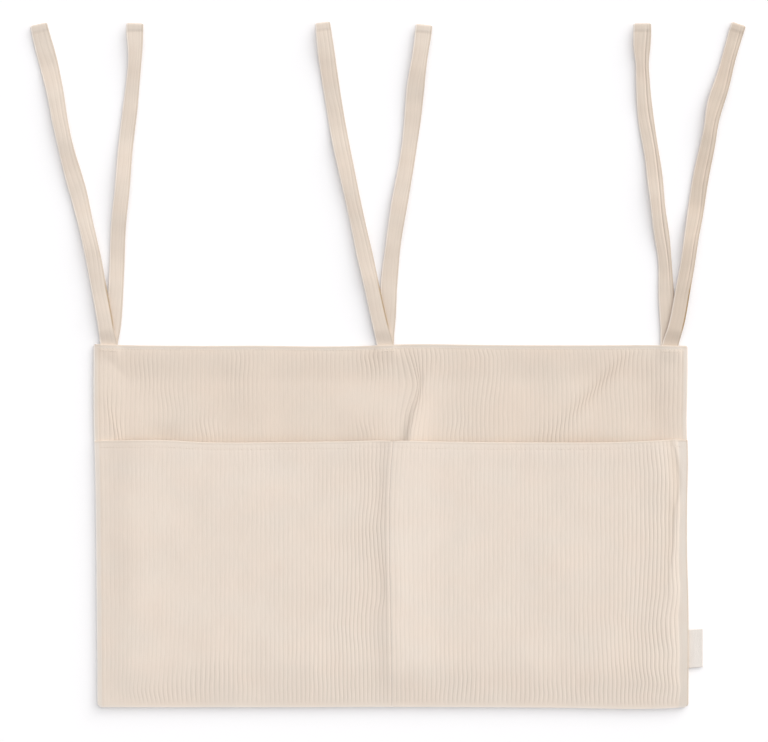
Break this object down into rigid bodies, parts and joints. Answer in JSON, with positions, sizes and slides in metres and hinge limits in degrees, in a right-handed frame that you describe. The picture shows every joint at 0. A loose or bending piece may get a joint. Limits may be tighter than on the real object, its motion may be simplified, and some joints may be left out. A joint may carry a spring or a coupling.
{
  "type": "fabric storage bag",
  "caption": "Flat corduroy storage bag with open-topped front pockets side by side, hung from a rail by fabric ties along its top edge.",
  "frame": {"origin": "middle of the lining's flat rear face", "axes": "+X along the top seam, to the right seen from the front; +Y in the plane of the bag, towards the ties; +Z out of the front, through the pockets"},
  "size_m": [0.7243, 0.6955, 0.0113],
  "materials": {
    "corduroy": "matt wide-wale cotton corduroy, sand beige",
    "lining": "matt plain-weave cotton, sand beige",
    "thread": "satin sewing thread, sand beige",
    "label": "satin woven tape, off-white, bare"
  },
  "bodies": {
    "bag": {"back_lining": "lining", "front_panel": "corduroy", "divider_seam": "thread", "top_edge_stitching": "thread", "tie_tack_left": "thread", "tie_tack_middle": "thread", "tie_tack_right": "thread"},
    "pocket_left": {"pocket_front_left": "corduroy", "mouth_stitching_left": "thread"},
    "pocket_right": {"pocket_front_right": "corduroy", "mouth_stitching_right": "thread"},
    "left_outer_tie": {"tie_left_outer": "corduroy"},
    "left_inner_tie": {"tie_left_inner": "corduroy"},
    "middle_left_tie": {"tie_middle_left": "corduroy"},
    "middle_right_tie": {"tie_middle_right": "corduroy"},
    "right_outer_tie": {"tie_right_outer": "corduroy"},
    "right_inner_tie": {"tie_right_inner": "corduroy"},
    "label": {"side_label": "label"}
  },
  "joints": [
    {"name": "pocket_left_open", "type": "hinge", "parent": "bag", "child": "pocket_left", "pos_m": [-0.15, -0.1829, 0.0042], "axis": [1, 0, 0], "range_deg": [0, 6]},
    {"name": "pocket_right_open", "type": "hinge", "parent": "bag", "child": "pocket_right", "pos_m": [0.15, -0.1829, 0.0042], "axis": [1, 0, 0], "range_deg": [0, 6]},
    {"name": "left_outer_tie_fold", "type": "hinge", "parent": "bag", "child": "left_outer_tie", "pos_m": [-0.285, 0.184, 0.0063], "axis": [1, 0, 0], "range_deg": [0, 160]},
    {"name": "left_inner_tie_fold", "type": "hinge", "parent": "bag", "child": "left_inner_tie", "pos_m": [-0.285, 0.184, 0], "axis": [1, 0, 0], "range_deg": [-170, 0]},
    {"name": "middle_left_tie_fold", "type": "hinge", "parent": "bag", "child": "middle_left_tie", "pos_m": [-0.005, 0.184, 0.0063], "axis": [1, 0, 0], "range_deg": [0, 160]},
    {"name": "middle_right_tie_fold", "type": "hinge", "parent": "bag", "child": "middle_right_tie", "pos_m": [-0.005, 0.184, 0], "axis": [1, 0, 0], "range_deg": [-170, 0]},
    {"name": "right_outer_tie_fold", "type": "hinge", "parent": "bag", "child": "right_outer_tie", "pos_m": [0.282, 0.184, 0.0063], "axis": [1, 0, 0], "range_deg": [0, 160]},
    {"name": "right_inner_tie_fold", "type": "hinge", "parent": "bag", "child": "right_inner_tie", "pos_m": [0.282, 0.184, 0], "axis": [1, 0, 0], "range_deg": [-170, 0]},
    {"name": "label_fold", "type": "hinge", "parent": "bag", "child": "label", "pos_m": [0.3008, -0.1245, 0.00135], "axis": [0, -1, 0], "range_deg": [-85, 85]}
  ]
}
